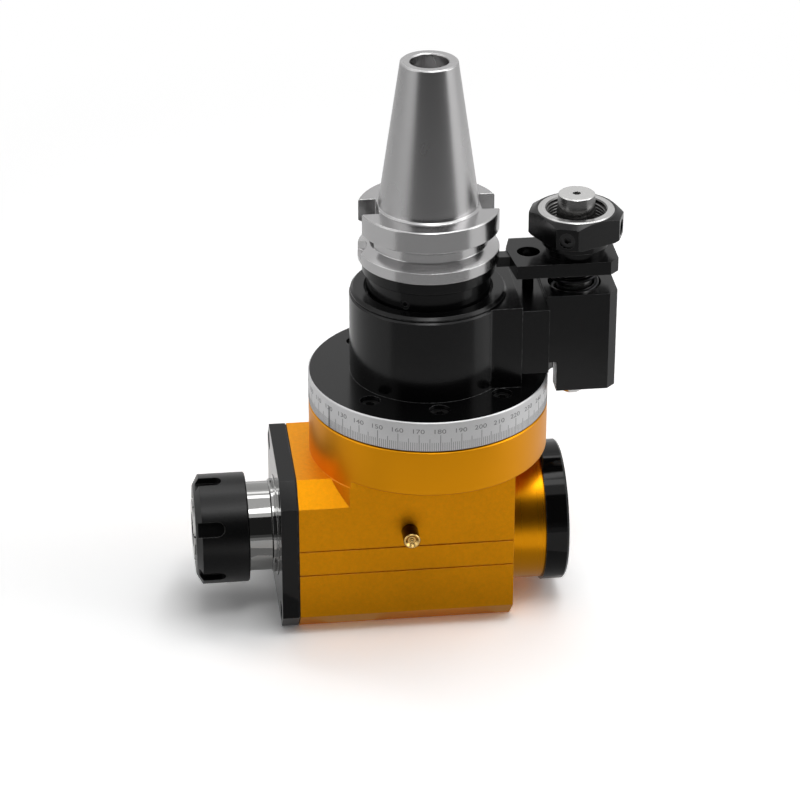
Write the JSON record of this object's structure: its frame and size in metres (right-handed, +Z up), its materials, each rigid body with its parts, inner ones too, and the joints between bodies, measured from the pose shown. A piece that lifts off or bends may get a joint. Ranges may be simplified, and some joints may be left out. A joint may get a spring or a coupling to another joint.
{
  "type": "angle head",
  "caption": "Right-angle milling head: steep-taper shank, swivelling body with dial ring and sprung stop pin, gold gear housing and collet spindle.",
  "frame": {"origin": "on the base plane of the gear housing, under the shank axis", "axes": "+Z up along the shank axis; X along the output spindle, with the collet at -X and the stop pin at +X; Y across"},
  "size_m": [0.1958, 0.1084, 0.2634],
  "materials": {
    "gold_anodised": "bead blasted, gold anodised",
    "black_anodised": "satin black anodised",
    "black_oxide_steel": "black oxide",
    "dark_fasteners": "blackened steel",
    "ground_steel": "ground",
    "bearing_steel": "polished",
    "gear_steel": "hardened and ground",
    "dial_aluminium": "satin with engraved scale",
    "brass": "turned",
    "seal_rubber": "matte"
  },
  "bodies": {
    "housing": {"housing": "gold_anodised", "front_cover": "black_anodised", "front_cover_screws": "dark_fasteners", "rear_bearing_sleeve": "gold_anodised", "rear_cap": "black_anodised", "rear_cap_screws": "dark_fasteners", "grease_nipple": "brass", "front_bearing_outers": "bearing_steel", "rear_bearing_outer": "bearing_steel", "front_seal": "seal_rubber"},
    "output_spindle": {"output_spindle": "ground_steel", "driven_gear": "gear_steel", "driven_gear_key": "gear_steel", "front_bearing_inners": "bearing_steel", "front_bearing_balls": "bearing_steel", "rear_bearing_inner": "bearing_steel", "rear_bearing_balls": "bearing_steel", "spacer_sleeve": "ground_steel", "spindle_lock_nuts": "gear_steel", "labyrinth_ring": "ground_steel"},
    "collet": {"collet": "ground_steel"},
    "collet_nut": {"collet_nut": "black_oxide_steel"},
    "upper_body": {"upper_body": "black_anodised", "dial_ring": "dial_aluminium", "swivel_screws": "dark_fasteners", "swivel_t_nuts": "dark_fasteners", "input_bearing_outers": "bearing_steel", "bearing_retainer": "black_oxide_steel", "input_seal": "seal_rubber", "stop_bracket": "black_anodised", "stop_bracket_screws": "dark_fasteners", "guide_rod": "black_oxide_steel", "pin_guide_bush": "brass", "pin_spring": "dark_fasteners"},
    "stop_pin": {"stop_pin": "ground_steel", "collar": "black_oxide_steel", "collar_bush": "ground_steel", "collar_set_screws": "dark_fasteners", "lever_plate": "black_oxide_steel", "lock_tongue": "dark_fasteners", "pin_retaining_nut": "dark_fasteners"},
    "input_shank": {"taper_shank": "ground_steel", "drive_gear": "gear_steel", "drive_gear_key": "gear_steel", "input_bearing_inners": "bearing_steel", "input_bearing_balls": "bearing_steel", "shaft_lock_nuts": "gear_steel", "lock_ring": "black_oxide_steel", "lock_ring_set_screws": "dark_fasteners"}
  },
  "joints": [
    {"name": "head_swivel", "type": "hinge", "parent": "housing", "child": "upper_body", "pos_m": [0, 0, 0.1005], "axis": [0, 0, 1], "continuous": true},
    {"name": "shank_spin", "type": "hinge", "parent": "housing", "child": "input_shank", "pos_m": [0, 0, 0.1325], "axis": [0, 0, 1], "continuous": true},
    {"name": "spindle_spin", "type": "hinge", "parent": "housing", "child": "output_spindle", "pos_m": [0, 0, 0.038], "axis": [1, 0, 0], "continuous": true},
    {"name": "collet_slide", "type": "slide", "parent": "output_spindle", "child": "collet", "axis": [-1, 0, 0], "range_m": [0, 0.0045]},
    {"name": "nut_turn", "type": "hinge", "parent": "collet", "child": "collet_nut", "pos_m": [-0.0964, 0, 0.038], "axis": [-1, 0, 0], "range_deg": [0, 1080]},
    {"name": "pin_press", "type": "slide", "parent": "upper_body", "child": "stop_pin", "axis": [0, 0, -1], "range_m": [0, 0.006], "stiffness_N_per_m": 3000, "springref_m": -0.004, "deforming": ["pin_spring"]}
  ],
  "couplings": [
    {"joint": "spindle_spin", "follows": "shank_spin", "ratio": 1},
    {"joint": "collet_slide", "follows": "nut_turn", "m_per_rad": 0.00023873}
  ]
}
